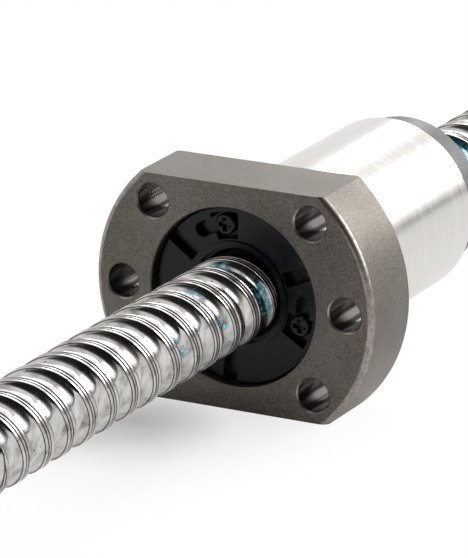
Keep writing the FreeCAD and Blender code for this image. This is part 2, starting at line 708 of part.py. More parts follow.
# A wiper ring: plain round bore just clear of the screw's crests, held in a cap's groove
def make_wiper_ring(name, first):
    ring = new_body(name)
    section = new_sketch(ring, "ring_section", "XY_Plane")
    inner = crest + size["wiper_gap"]
    outer = size["wiper_dia"] / 2
    start = first + size["wiper_gap"]
    last = start + size["wiper_width"]
    lip = size["wiper_width"] / 3
    draw_polygon(
        section, [(inner, start), (outer, start), (outer, last), (inner + lip, last), (inner, last - lip)]
    )
    turned(ring, "ring", section)
    return ring


def make_ball(name, angle, along, diameter_circle):
    ball = doc.addObject("Part::Sphere", name)
    bind(ball, "Radius", size["ball_dia"] / 2)
    across, up = (part.value for part in polar(diameter_circle, angle))
    ball.Placement = Placement(Vector(across, along, up), Rotation())
    return ball


# The balls of one circuit: some of the loaded ones, spread along the raceway, and one on its way back
def make_ball_circuit(number_from_one):
    turn = 360.0 * (number_from_one - 1) / STARTS
    loaded, returning = [], []
    for i in range(BALLS_PER_CIRCUIT):
        back = loaded_angle * (i + FIRST_BALL) / BALLS_PER_CIRCUIT
        along = -size["front_turnaround"].value + size["thread_lead"].value * back / 360
        name = "loaded_ball_%d_%d" % (number_from_one, i + 1)
        loaded.append(make_ball(name, enter_angle + turn - back, along, size["ball_circle"]))
    for i in range(BALLS_PER_RETURN):
        along = front_floor.value + (rear_floor.value - front_floor.value) * (i + 1) / (BALLS_PER_RETURN + 1)
        name = "returning_ball_%d_%d" % (number_from_one, i + 1)
        returning.append(make_ball(name, return_angle + turn, along, size["return_circle"]))
    made = []
    for name, balls in (("loaded_balls_%d", loaded), ("returning_balls_%d", returning)):
        group = doc.addObject("Part::Compound", name % number_from_one)
        group.Links = balls
        made.append(group)
    doc.recompute()
    return made


pieces = [make_screw(), make_nut_body(), make_front_cap(), make_rear_cap()]
pieces += make_cap_screws()
for circuit in range(STARTS):
    spin = about_axis(360.0 * circuit / STARTS)
    pieces.append(make_deflector("front_deflector_%d" % (circuit + 1), spin))
    pieces.append(make_deflector("rear_deflector_%d" % (circuit + 1), swap_ends * spin))
    pieces += make_ball_circuit(circuit + 1)
pieces.append(make_wiper_ring("front_wiper_ring", cap_front - size["curb_rise"] + size["wiper_lip"]))
rear_ring_seat = (barrel_length + size["rear_cap_reach"] - size["wiper_lip"] - size["wiper_width"]
                  - size["wiper_gap"] * 2)
pieces.append(make_wiper_ring("rear_wiper_ring", rear_ring_seat))

doc.recompute()
for item in doc.Objects:
    if "Invalid" in item.State or "Error" in item.State:
        raise RuntimeError("%s failed" % item.Label)
os.makedirs("parts", exist_ok=True)
for piece in pieces:
    shape = piece.Shape
    if shape.isNull() or not shape.isValid() or not shape.Solids:
        raise RuntimeError("%s has no valid solid" % piece.Label)
    shape.exportStep("parts/%s.step" % piece.Label)
    box = shape.BoundBox
    print("%s: %d solid(s), %.1f mm3, Y %.2f to %.2f" % (
        piece.Label, len(shape.Solids), shape.Volume, box.YMin, box.YMax))
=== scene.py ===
"""Flanged ball screw nut on its rolled screw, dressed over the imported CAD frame.

Row frame in metres: Y along the screw axis, the front of the flange at -Y, Z up, origin in the
flange's rear mounting face.
"""
import math

import bmesh
import bpy
import numpy as np
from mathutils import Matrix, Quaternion, Vector


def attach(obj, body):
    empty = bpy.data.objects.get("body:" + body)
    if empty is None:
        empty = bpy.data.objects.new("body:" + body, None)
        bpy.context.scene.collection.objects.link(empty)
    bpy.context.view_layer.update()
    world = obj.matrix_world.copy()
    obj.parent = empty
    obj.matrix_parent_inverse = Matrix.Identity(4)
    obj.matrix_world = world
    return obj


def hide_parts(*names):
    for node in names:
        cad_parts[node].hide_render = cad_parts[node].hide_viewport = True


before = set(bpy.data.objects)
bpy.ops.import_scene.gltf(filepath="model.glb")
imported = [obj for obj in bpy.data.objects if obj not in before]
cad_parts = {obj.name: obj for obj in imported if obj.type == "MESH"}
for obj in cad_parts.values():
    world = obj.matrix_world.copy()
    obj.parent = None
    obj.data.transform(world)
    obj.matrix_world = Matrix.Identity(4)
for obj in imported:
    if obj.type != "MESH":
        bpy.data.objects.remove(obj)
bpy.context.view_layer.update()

# ---- The view --------------------------------------------------------------------------------
# A long lens stands 0.64 m away, in front of the flange, to its right and above it, and looks at
# the part from the photograph's angle.
MM = 0.001
camera =bpy.data.objects.new("camera", bpy.data.cameras.new("camera"))
bpy.context.scene.collection.objects.link(camera)
camera.data.lens = 325.2
camera.data.sensor_width = 36.0
camera.data.clip_end = 10.0
camera.location = Vector((298.70, -532.08, 203.43)) * MM
camera.rotation_mode = "QUATERNION"
camera.rotation_quaternion = Quaternion((0.786606, 0.563090, 0.156642, 0.199106))
bpy.context.scene.camera = camera
bpy.context.scene.view_settings.view_transform = "Standard"


# ---- The studio ------------------------------------------------------------------------------
# A pale table and a white backdrop that the camera, metal and clear things all see, soft boxes
# above and behind the part, and a dim room in front of it, which draws dark bands on the steel.
def paint(code):
    """An sRGB hex colour as the linear colour that a shader works in."""
    parts = [int(code[i:i + 2], 16) / 255 for i in (1, 3, 5)]
    linear = [p / 12.92 if p <= 0.04045 else ((p + 0.055) / 1.055) ** 2.4 for p in parts]
    return tuple(linear) + (1.0,)


def add_node(tree, kind, inputs=None, **settings):
    """One node with its settings, and a value or a link for each input that is named."""
    made = tree.nodes.new(kind)
    for name, value in settings.items():
        setattr(made, name, value)
    for name, value in (inputs or {}).items():
        if isinstance(value, bpy.types.NodeSocket):
            tree.links.new(value, made.inputs[name])
        else:
            made.inputs[name].default_value = value
    return made


def set_ramp(ramp_node, stops):
    """Colour stops of a ramp, as (place, hex colour)."""
    ramp = ramp_node.color_ramp
    while len(ramp.elements) > 1:
        ramp.elements.remove(ramp.elements[-1])
    for i, (place, code) in enumerate(stops):
        element = ramp.elements[0] if i == 0 else ramp.elements.new(place)
        element.position = place
        element.color = paint(code)


# A mix node keeps its two colours in these inputs, and gives the mixed one in this output
COLOUR_A, COLOUR_B, MIXED = 6, 7, 2

world = bpy.data.worlds.new("studio")
bpy.context.scene.world = world
world.use_nodes = True
sky = world.node_tree
sky.nodes.clear()
direction = add_node(sky, "ShaderNodeTexCoord")

# How much a direction points to the dim side of the room, and where white turns to dim
dim_side = (0.35, -0.90, 0.25)
white_until, dim_from = 0.42, 0.64
to_dim_side = add_node(sky, "ShaderNodeVectorMath",
                       {0: direction.outputs["Generated"], 1: dim_side}, operation="DOT_PRODUCT")
surround = add_node(sky, "ShaderNodeValToRGB", {"Fac": to_dim_side.outputs["Value"]})
set_ramp(surround, [(0.0, "#ececec"), (white_until, "#d8d8d8"), (dim_from, "#303030"),
                    (1.0, "#1a1a1a")])

# The gap between the table's right edge and the backdrop, which ground steel shows as a dark line
gap_top, backdrop_foot = 0.04, 0.09
axes = add_node(sky, "ShaderNodeSeparateXYZ", {"Vector": direction.outputs["Generated"]})
left_side = add_node(sky, "ShaderNodeMapRange",
                     {"Value": axes.outputs["X"], "From Min": 0.1, "From Max": -0.2})
height = add_node(sky, "ShaderNodeMath", {0: axes.outputs["Z"], 1: left_side.outputs[0]},
                  operation="ADD")
above_gap = add_node(sky, "ShaderNodeMapRange", {"Value": height.outputs[0], "From Min": gap_top,
                                                 "From Max": backdrop_foot})
gap_shade = add_node(sky, "ShaderNodeValToRGB", {"Fac": above_gap.outputs[0]})
set_ramp(gap_shade, [(0.0, "#505050"), (1.0, "#ffffff")])
room = add_node(sky, "ShaderNodeMix", {"Factor": 1.0, COLOUR_A: surround.outputs["Color"],
                                       COLOUR_B: gap_shade.outputs["Color"]},
                data_type="RGBA", blend_type="MULTIPLY")

# The camera sees white all round. Metal and clear things see the same white on the backdrop's side
backdrop_side = add_node(sky, "ShaderNodeMapRange",
                         {"Value": to_dim_side.outputs["Value"], "From Min": white_until,
                          "From Max": dim_from, "To Min": 1.0, "To Max": 0.0})
backdrop = add_node(sky, "ShaderNodeMath",
                    {0: backdrop_side.outputs[0], 1: above_gap.outputs[0]}, operation="MULTIPLY")
path = add_node(sky, "ShaderNodeLightPath")
mirrored = add_node(sky, "ShaderNodeMath", {0: path.outputs["Is Glossy Ray"],
                                            1: path.outputs["Is Transmission Ray"]},
                    operation="MAXIMUM")
mirrored_white = add_node(sky, "ShaderNodeMath",
                          {0: mirrored.outputs[0], 1: backdrop.outputs[0]}, operation="MULTIPLY")
shown_white = add_node(sky, "ShaderNodeMath", {0: path.outputs["Is Camera Ray"],
                                               1: mirrored_white.outputs[0]}, operation="MAXIMUM")
seen = add_node(sky, "ShaderNodeMix", {"Factor": shown_white.outputs[0],
                                       COLOUR_A: room.outputs[MIXED],
                                       COLOUR_B: paint("#ffffff")}, data_type="RGBA")
glow = add_node(sky, "ShaderNodeBackground", {"Color": seen.outputs[MIXED], "Strength": 1.0})
add_node(sky, "ShaderNodeOutputWorld", {"Surface": glow.outputs[0]})

# The table top lies just under the flange's lower flat
table_height = -15.02 * MM
reach = 3.0
corners = [(-reach, -reach), (reach, -reach), (reach, reach), (-reach, reach)]
table_mesh = bpy.data.meshes.new("table")
table_mesh.from_pydata([(x, y, table_height) for x, y in corners], [], [(0, 1, 2, 3)])
table = bpy.data.objects.new("table", table_mesh)
bpy.context.scene.collection.objects.link(table)


def new_material(name):
    """An empty material and its tree."""
    material = bpy.data.materials.new(name)
    material.use_nodes = True
    material.node_tree.nodes.clear()
    return material, material.node_tree


# The camera, metal and clear things all see the open table as white. Close under the front of the
# flange it is left as the lamps light it, and keeps the part's shadow, which reaches further in
# the reflections
shadow_middle = (-10.0, -23.0, -15.0)
open_at, extra_in_reflections = 70, 190
table_white, tree = new_material("white_sweep")
lit_top = add_node(tree, "ShaderNodeBsdfDiffuse", {"Color": paint("#f4f4f4")})
plain_white = add_node(tree, "ShaderNodeEmission", {"Color": paint("#ffffff"), "Strength": 1.0})
path = add_node(tree, "ShaderNodeLightPath")
mirrored = add_node(tree, "ShaderNodeMath", {0: path.outputs["Is Glossy Ray"],
                                             1: path.outputs["Is Transmission Ray"]},
                    operation="MAXIMUM")
shown = add_node(tree, "ShaderNodeMath", {0: path.outputs["Is Camera Ray"],
                                          1: mirrored.outputs[0]}, operation="MAXIMUM")
spot = add_node(tree, "ShaderNodeNewGeometry")
from_shadow = add_node(tree, "ShaderNodeVectorMath", {0: spot.outputs["Position"],
                                                      1: Vector(shadow_middle) * MM},
                       operation="DISTANCE")
open_from = add_node(tree, "ShaderNodeMath",
                     {0: mirrored.outputs[0], 1: extra_in_reflections * MM, 2: open_at * MM},
                     operation="MULTIPLY_ADD")
share = add_node(tree, "ShaderNodeMapRange", {"Value": from_shadow.outputs["Value"],
                                              "From Max": open_from.outputs[0]})
openness = add_node(tree, "ShaderNodeValToRGB", {"Fac": share.outputs[0]})
set_ramp(openness, [(0.06, "#303030"), (0.21, "#dadada"), (0.40, "#f4f4f4"), (1.0, "#ffffff")])
whitened = add_node(tree, "ShaderNodeMath", {0: shown.outputs[0], 1: openness.outputs["Color"]},
                    operation="MULTIPLY")
table_top = add_node(tree, "ShaderNodeMixShader", {0: whitened.outputs[0], 1: lit_top.outputs[0],
                                                   2: plain_white.outputs[0]})
add_node(tree, "ShaderNodeOutputMaterial", {"Surface": table_top.outputs[0]})
table_mesh.materials.append(table_white)


def soft_light(name, place, width, height, power):
    """A rectangular soft box in millimetres, which is aimed at the part."""
    lamp = bpy.data.objects.new(name, bpy.data.lights.new(name, "AREA"))
    lamp.data.shape = "RECTANGLE"
    lamp.data.size = width * MM
    lamp.data.size_y = height * MM
    lamp.data.energy = power
    lamp.location = Vector(place) * MM
    lamp.rotation_mode = "QUATERNION"
    lamp.rotation_quaternion = (Vector() - lamp.location).to_track_quat("-Z", "Y")
    bpy.context.scene.collection.objects.link(lamp)


soft_light("top_box", (0, 250, 390), 420, 300, 0.9)
soft_light("back_right_box", (290, 480, 260), 330, 300, 1.5)
soft_light("right_box", (430, 130, 240), 300, 300, 1.7)
soft_light("back_left_box", (-115, 430, 285), 100, 260, 0.48)


# ---- The rolled screw ------------------------------------------------------------------------
# Hardened steel bar with two ball grooves rolled into it. Rolling raises a low ridge along both
# edges of a land and leaves two fine seams between them. It stands for the CAD screw, groove for
# groove. All sizes are in millimetres.
crest_radius = 5.85
lead = 10.0
starts = 2
pitch = lead / starts
groove_half_width = 1.6
groove_arc_radius = 1.75
front_groove_y = -3.8
screw_from, screw_to = -74.0, 67.0
end_chamfer = 0.6
ridge_height, ridge_at, ridge_width = 0.07, 1.85, 0.17
seam_depth, seam_at, seam_width = 0.13, 2.24, 0.09
shoulder_round = 0.05
land_radius = crest_radius - ridge_height
# A face whose normal lies along the screw by more than this is part of a sawn end
end_facing = 0.999


def screw_radius(offset):
    """Radius at an axial offset from the middle of a groove, up to half a pitch either way."""
    across = np.abs(offset)
    spring = math.sqrt(groove_arc_radius ** 2 - groove_half_width ** 2)
    arc = np.sqrt(np.maximum(groove_arc_radius ** 2 - across ** 2, 0))
    groove = land_radius - (arc - spring)
    ridge = ridge_height * np.exp(-((across - ridge_at) / ridge_width) ** 2)
    seam = -seam_depth * np.exp(-((across - seam_at) / seam_width) ** 2)
    land = land_radius + ridge + seam
    # A soft minimum rounds the shoulder where the groove meets the land
    low = np.minimum(groove, land)
    blend = np.maximum(shoulder_round - np.abs(groove - land), 0) / shoulder_round
    return low - blend ** 2 * shoulder_round / 4


def helical_mesh(name, radius_of, first, last, steps=80):
    """A threaded bar whose rows of points follow its grooves, closed by flat ends."""
    groove_points, shoulder_points, seam_points = 17, 6, 9
    seams_from = 2.12
    least_radius = 1.0
    groove = np.linspace(-groove_half_width, groove_half_width, groove_points)
    # The land's points stand closer together where the two seams run
    shoulder = np.linspace(groove_half_width, seams_from, shoulder_points)[1:]
    seam = np.linspace(seams_from, pitch / 2, seam_points)[1:]
    near = np.concatenate([shoulder, seam])
    land = np.concatenate([near, (pitch - near)[::-1][1:]])
    profile = np.concatenate([groove, land])
    per_pitch = len(profile)
    base_radius = radius_of((profile + pitch / 2) % pitch - pitch / 2)
    first_turn = math.floor((first - lead - front_groove_y) / pitch) - 1
    rows = int((last - first + 3 * lead) / pitch) + 2
    offsets = np.concatenate([profile + (first_turn + k) * pitch for k in range(rows)])
    radii = np.tile(base_radius, rows)
    turns = np.arange(steps) / steps
    angle = turns[None, :] * 2 * math.pi
    # A point at angle zero from +Z towards -X lies in the groove's front turnaround plane
    along = front_groove_y + offsets[:, None] - lead * turns[None, :]
    radius = np.broadcast_to(radii[:, None], along.shape)
    limit = crest_radius - end_chamfer + np.minimum(along - first, last - along)
    radius = np.minimum(radius, np.maximum(limit, least_radius))
    points = np.stack([-radius * np.sin(angle), along, radius * np.cos(angle)], axis=-1)
    points = points.reshape(-1, 3) * MM
    i, j = np.meshgrid(np.arange(len(offsets)), np.arange(steps), indexing="ij")
    step_over = (j + 1) // steps
    next_j = (j + 1) % steps
    # After a whole turn the same groove has moved by one lead, which is a whole number of pitches
    row_shift = starts * per_pitch * step_over
    a = i * steps + j
    b = (i - row_shift) * steps + next_j
    c = (i + 1 - row_shift) * steps + next_j
    d = (i + 1) * steps + j
    good = (i - row_shift >= 0) & (i + 1 < len(offsets))
    faces = np.stack([a[good], d[good], c[good], b[good]], axis=-1)
    mesh = bpy.data.meshes.new(name)
    mesh.from_pydata(points.tolist(), [], faces.tolist())
    shape = bmesh.new()
    shape.from_mesh(mesh)
    for place, outward in ((first, -1), (last, 1)):
        everything = list(shape.verts) + list(shape.edges) + list(shape.faces)
        cut = bmesh.ops.bisect_plane(shape, geom=everything, plane_co=(0, place * MM, 0),
                                     plane_no=(0, outward, 0), clear_outer=True)
        rim = [e for e in cut["geom_cut"] if isinstance(e, bmesh.types.BMEdge)]
        bmesh.ops.holes_fill(shape, edges=rim)
    bmesh.ops.recalc_face_normals(shape, faces=shape.faces)
    shape.to_mesh(mesh)
    shape.free()
    for polygon in mesh.polygons:
        polygon.use_smooth = abs(polygon.normal.y) < end_facing
    return mesh


screw_mesh = helical_mesh("rolled_screw", screw_radius, screw_from, screw_to)
rolled_screw = bpy.data.objects.new("rolled_screw", screw_mesh)
bpy.context.scene.collection.objects.link(rolled_screw)

# Induction-hardened bearing steel, polished by the rolling dies: near-mirror, with faint waves
# and dull patches, and a thin film of teal grease left in the grooves in places.
polished_steel, tree = new_material("rolled_bearing_steel")
place = add_node(tree, "ShaderNodeTexCoord")
# Dull patches a few millimetres long, drawn out round the screw by the rolling
patch_size = 2.4
drawn = add_node(tree, "ShaderNodeMapping", {"Vector": place.outputs["Object"],
                                             "Scale": (1.0, 2.6, 1.0)})
patches = add_node(tree, "ShaderNodeTexNoise",
                   {"Vector": drawn.outputs[0], "Scale": 1 / (patch_size * MM), "Detail": 3.0,
                    "Roughness": 0.55, "Distortion": 0.2})
gloss = add_node(tree, "ShaderNodeMapRange",
                 {"Value": patches.outputs["Fac"], "From Min": 0.35, "From Max": 0.7,
                  "To Min": 0.08, "To Max": 0.30})
steel_shade = add_node(tree, "ShaderNodeValToRGB", {"Fac": patches.outputs["Fac"]})
set_ramp(steel_shade, [(0.34, "#cfcdcb"), (0.52, "#bbb8b6"), (0.70, "#8b8783")])
# Tiny dark pits, drawn larger than life so that they show
pit_spacing = 1.3
pit_cells = add_node(tree, "ShaderNodeTexVoronoi", {"Vector": place.outputs["Object"],
                                                    "Scale": 1 / (pit_spacing * MM)})
pits = add_node(tree, "ShaderNodeMapRange", {"Value": pit_cells.outputs["Distance"],
                                             "From Min": 0.05, "From Max": 0.12})
pitted = add_node(tree, "ShaderNodeMix", {"Factor": pits.outputs[0], COLOUR_A: paint("#3c3835"),
                                          COLOUR_B: steel_shade.outputs["Color"]},
                  data_type="RGBA")
flat = add_node(tree, "ShaderNodeVectorMath", {0: place.outputs["Object"], 1: (1.0, 0.0, 1.0)},
                operation="MULTIPLY")
from_axis = add_node(tree, "ShaderNodeVectorMath", {0: flat.outputs[0]}, operation="LENGTH")
# The seams and the grooves' edges, 0.05 to 0.15 mm under the lands, are painted darker: painted
# shade in these creases
depth = add_node(tree, "ShaderNodeMapRange", {"Value": from_axis.outputs["Value"],
                                              "From Min": 5.5 * MM, "From Max": 5.9 * MM})
seam_painted_shade = add_node(tree, "ShaderNodeValToRGB", {"Fac": depth.outputs[0]})
set_ramp(seam_painted_shade, [(0.25, "#ffffff"), (0.36, "#77726d"), (0.58, "#77726d"), (0.69, "#ffffff")])
# Painted shade in the seams and along the groove edges, multiplied onto the pitted steel colour
pits_and_seam_shade = add_node(tree, "ShaderNodeMix", {"Factor": 1.0, COLOUR_A: pitted.outputs[MIXED],
                                        COLOUR_B: seam_painted_shade.outputs["Color"]},
                data_type="RGBA", blend_type="MULTIPLY")
wave_length = 1.3
waves = add_node(tree, "ShaderNodeTexNoise", {"Vector": drawn.outputs[0],
                                              "Scale": 1 / (wave_length * MM), "Detail": 2.0})
ripple = add_node(tree, "ShaderNodeBump", {"Height": waves.outputs["Fac"], "Strength": 0.14,
                                           "Distance": 0.05 * MM})
steel = add_node(tree, "ShaderNodeBsdfPrincipled",
                 {"Base Color": pits_and_seam_shade.outputs[MIXED], "Metallic": 1.0,
                  "Roughness": gloss.outputs[0], "Normal": ripple.outputs[0]})
# Smears of grease, as (x, y, z) and reach in millimetres, that lie in the grooves and are broken
# up by a fine noise
smears = [((4.9, -10.6, 2.2), 2.9), ((5.3, -11.0, -0.3), 3.2), ((4.0, -10.4, 3.8), 1.6),
          ((0.0, -12.7, 5.3), 2.6), ((3.0, -23.0, 4.5), 2.1), ((1.5, -23.2, 5.1), 1.7),
          ((5.3, -21.3, 0.7), 1.9), ((4.8, -32.2, 2.4), 1.7), ((5.4, -31.4, -0.2), 2.0),
          ((4.6, -42.8, 2.8), 1.5), ((3.2, 47.5, 4.3), 7.0)]
film = 0.0
for centre, spread in smears:
    off = add_node(tree, "ShaderNodeVectorMath",
                   {0: place.outputs["Object"], 1: Vector(centre) * MM}, operation="DISTANCE")
    near = add_node(tree, "ShaderNodeMapRange",
                    {"Value": off.outputs["Value"], "From Max": spread * MM, "To Min": 1.0,
                     "To Max": 0.0})
    widest = add_node(tree, "ShaderNodeMath", {0: near.outputs[0], 1: film}, operation="MAXIMUM")
    film = widest.outputs[0]
rag_size = 0.7
ragged = add_node(tree, "ShaderNodeTexNoise", {"Vector": place.outputs["Object"],
                                               "Scale": 1 / (rag_size * MM), "Detail": 4.0})
in_groove = add_node(tree, "ShaderNodeMapRange",
                     {"Value": from_axis.outputs["Value"], "From Min": 5.35 * MM,
                      "From Max": 5.75 * MM, "To Min": 1.0, "To Max": 0.0})
thickness = add_node(tree, "ShaderNodeMath", {0: film, 1: in_groove.outputs[0]},
                     operation="MULTIPLY")
cover = add_node(tree, "ShaderNodeMath", {0: thickness.outputs[0], 1: ragged.outputs["Fac"]},
                 operation="MULTIPLY")
edge = add_node(tree, "ShaderNodeMapRange", {"Value": cover.outputs[0], "From Min": 0.12,
                                             "From Max": 0.32, "To Max": 0.9})
grease_shade = add_node(tree, "ShaderNodeValToRGB", {"Fac": ragged.outputs["Fac"]})
set_ramp(grease_shade, [(0.42, "#0f3e4a"), (0.56, "#2f7a88"), (0.70, "#a8d4d8")])
grease = add_node(tree, "ShaderNodeBsdfPrincipled",
                  {"Base Color": grease_shade.outputs["Color"], "Roughness": 0.18,
                   "Metallic": 0.5, "Normal": ripple.outputs[0]})
greasy = add_node(tree, "ShaderNodeMixShader", {0: edge.outputs[0], 1: steel.outputs[0],
                                                2: grease.outputs[0]})
add_node(tree, "ShaderNodeOutputMaterial", {"Surface": greasy.outputs[0]})
rolled_screw.data.materials.append(polished_steel)

# The sawn ends are faced on a lathe, which leaves rings about 0.25 mm apart. A wave texture of
# scale 1 has a wave of 0.314 m, a twentieth of a turn in radians
unit_wave = 0.314
facing_ring_spacing = 0.25
faced_steel, tree = new_material("faced_steel")
place = add_node(tree, "ShaderNodeTexCoord")
rings = add_node(tree, "ShaderNodeTexWave",
                 {"Vector": place.outputs["Object"],
                  "Scale": unit_wave / (facing_ring_spacing * MM), "Distortion": 0.4,
                  "Detail": 2.0}, wave_type="RINGS", rings_direction="Y")
shade = add_node(tree, "ShaderNodeValToRGB", {"Fac": rings.outputs["Fac"]})
set_ramp(shade, [(0.2, "#9a9794"), (0.8, "#b4b1ae")])
bumps = add_node(tree, "ShaderNodeBump", {"Height": rings.outputs["Fac"], "Strength": 0.15,
                                          "Distance": 0.02 * MM})
steel = add_node(tree, "ShaderNodeBsdfPrincipled",
                 {"Base Color": shade.outputs["Color"], "Metallic": 1.0, "Roughness": 0.34,
                  "Normal": bumps.outputs[0]})
add_node(tree, "ShaderNodeOutputMaterial", {"Surface": steel.outputs[0]})
rolled_screw.data.materials.append(faced_steel)
for polygon in rolled_screw.data.polygons:
    is_end = abs(polygon.normal.y) > end_facing and len(polygon.vertices) > 4
    polygon.material_index = 1 if is_end else 0
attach(rolled_screw, "screw")
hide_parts("screw_shaft")

# ---- The nut body ----------------------------------------------------------------------------
# One piece of case-hardened steel, turned and drilled. The flange keeps a brown-grey phosphate
# coat and the barrel is ground bright all round, so that it slides into its housing.
nut_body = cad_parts["nut_body"]

# Zinc phosphate is a matt, fine-grained crystal skin with tiny pits. Its crystals are far too
# fine to show, so the grain is drawn at 0.22 mm
grain_size, cloud_size, pit_spacing = 0.22, 6, 1.1
phosphated_steel, tree = new_material("phosphated_steel")
place = add_node(tree, "ShaderNodeTexCoord")
grain = add_node(tree, "ShaderNodeTexNoise",
                 {"Vector": place.outputs["Object"], "Scale": 1 / (grain_size * MM),
                  "Detail": 4.0, "Roughness": 0.75})
clouds = add_node(tree, "ShaderNodeTexNoise", {"Vector": place.outputs["Object"],
                                               "Scale": 1 / (cloud_size * MM), "Detail": 3.0})
fine = add_node(tree, "ShaderNodeValToRGB", {"Fac": grain.outputs["Fac"]})
set_ramp(fine, [(0.30, "#534e49"), (0.50, "#6d6862"), (0.72, "#8c8781")])
broad = add_node(tree, "ShaderNodeValToRGB", {"Fac": clouds.outputs["Fac"]})
set_ramp(broad, [(0.3, "#e9e7e4"), (0.7, "#ffffff")])
coat = add_node(tree, "ShaderNodeMix", {"Factor": 1.0, COLOUR_A: fine.outputs["Color"],
                                        COLOUR_B: broad.outputs["Color"]},
                data_type="RGBA", blend_type="MULTIPLY")
pit_cells = add_node(tree, "ShaderNodeTexVoronoi", {"Vector": place.outputs["Object"],
                                                    "Scale": 1 / (pit_spacing * MM)})
pits = add_node(tree, "ShaderNodeMapRange", {"Value": pit_cells.outputs["Distance"],
                                             "From Min": 0.03, "From Max": 0.11})
skin = add_node(tree, "ShaderNodeMix", {"Factor": pits.outputs[0], COLOUR_A: paint("#2c2825"),
                                        COLOUR_B: coat.outputs[MIXED]}, data_type="RGBA")
bumps = add_node(tree, "ShaderNodeBump", {"Height": grain.outputs["Fac"], "Strength": 0.25,
                                          "Distance": 0.05 * MM})
rough = add_node(tree, "ShaderNodeMapRange",
                 {"Value": grain.outputs["Fac"], "From Min": 0.3, "From Max": 0.7,
                  "To Min": 0.36, "To Max": 0.50})
steel = add_node(tree, "ShaderNodeBsdfPrincipled",
                 {"Base Color": skin.outputs[MIXED], "Metallic": 0.9,
                  "Roughness": rough.outputs[0], "Normal": bumps.outputs[0]})
add_node(tree, "ShaderNodeOutputMaterial", {"Surface": steel.outputs[0]})

# Ground steel is bright, with fine lines round the barrel. They are drawn about 0.3 mm apart,
# coarser than the wheel leaves them, so that they show
line_spacing, line_length = 0.3, 25
ground_steel, tree = new_material("ground_steel")
place = add_node(tree, "ShaderNodeTexCoord")
over_lines, along_lines = 1 / (line_spacing * MM), 1 / (line_length * MM)
stretch = add_node(tree, "ShaderNodeMapping",
                   {"Vector": place.outputs["Object"],
                    "Scale": (along_lines, over_lines, along_lines)})
lines = add_node(tree, "ShaderNodeTexNoise", {"Vector": stretch.outputs[0], "Scale": 1.0,
                                              "Detail": 4.0})
gloss = add_node(tree, "ShaderNodeMapRange",
                 {"Value": lines.outputs["Fac"], "From Min": 0.3, "From Max": 0.7,
                  "To Min": 0.20, "To Max": 0.25})
bumps = add_node(tree, "ShaderNodeBump", {"Height": lines.outputs["Fac"], "Strength": 0.012,
                                          "Distance": 0.02 * MM})
shade = add_node(tree, "ShaderNodeValToRGB", {"Fac": lines.outputs["Fac"]})
set_ramp(shade, [(0.3, "#cfccc8"), (0.7, "#d7d4d1")])
steel = add_node(tree, "ShaderNodeBsdfPrincipled",
                 {"Base Color": shade.outputs["Color"], "Metallic": 1.0,
                  "Roughness": gloss.outputs[0], "Normal": bumps.outputs[0]})
add_node(tree, "ShaderNodeOutputMaterial", {"Surface": steel.outputs[0]})

# The bolt holes are drilled and oiled, so they are shiny, with faint rings from the drill about
# 0.5 mm apart.
# Their walls are painted near black, as painted shade deep inside the holes
drill_ring_spacing = 0.5
hole_steel_painted_shade, tree = new_material("hole_steel_painted_shade")
place = add_node(tree, "ShaderNodeTexCoord")
rings = add_node(tree, "ShaderNodeTexWave",
                 {"Vector": place.outputs["Object"],
                  "Scale": unit_wave / (drill_ring_spacing * MM), "Distortion": 1.2,
                  "Detail": 2.0}, bands_direction="Y")
bumps = add_node(tree, "ShaderNodeBump", {"Height": rings.outputs["Fac"], "Strength": 0.12,
                                          "Distance": 0.03 * MM})
shade = add_node(tree, "ShaderNodeValToRGB", {"Fac": rings.outputs["Fac"]})
# Painted shade: the near-black colour stands for the shade inside the bolt holes
set_ramp(shade, [(0.2, "#262422"), (0.8, "#3c3936")])
steel = add_node(tree, "ShaderNodeBsdfPrincipled",
                 {"Base Color": shade.outputs["Color"], "Metallic": 1.0, "Roughness": 0.16,
                  "Normal": bumps.outputs[0]})
add_node(tree, "ShaderNodeOutputMaterial", {"Surface": steel.outputs[0]})

# Handling has rubbed the coat on the flange's narrow edges and the holes' rims to bare steel, in
# spots about 0.8 mm across. The bare steel is painted lighter still, as a painted highlight along
# these edges
wear_size = 0.8
edge_wear_and_highlight, tree = new_material("bare_edge_steel_painted_highlight")
place = add_node(tree, "ShaderNodeTexCoord")
wear = add_node(tree, "ShaderNodeTexNoise", {"Vector": place.outputs["Object"],
                                             "Scale": 1 / (wear_size * MM), "Detail": 4.0})
shade = add_node(tree, "ShaderNodeValToRGB", {"Fac": wear.outputs["Fac"]})
# Bare-steel colour raised into a painted highlight, the bright line along the flange's edges
set_ramp(shade, [(0.35, "#7f7872"), (0.65, "#9c958e")])
gloss = add_node(tree, "ShaderNodeMapRange",
                 {"Value": wear.outputs["Fac"], "From Min": 0.3, "From Max": 0.7,
                  "To Min": 0.42, "To Max": 0.32})
steel = add_node(tree, "ShaderNodeBsdfPrincipled",
                 {"Base Color": shade.outputs["Color"], "Metallic": 1.0,
                  "Roughness": gloss.outputs[0]})
add_node(tree, "ShaderNodeOutputMaterial", {"Surface": steel.outputs[0]})

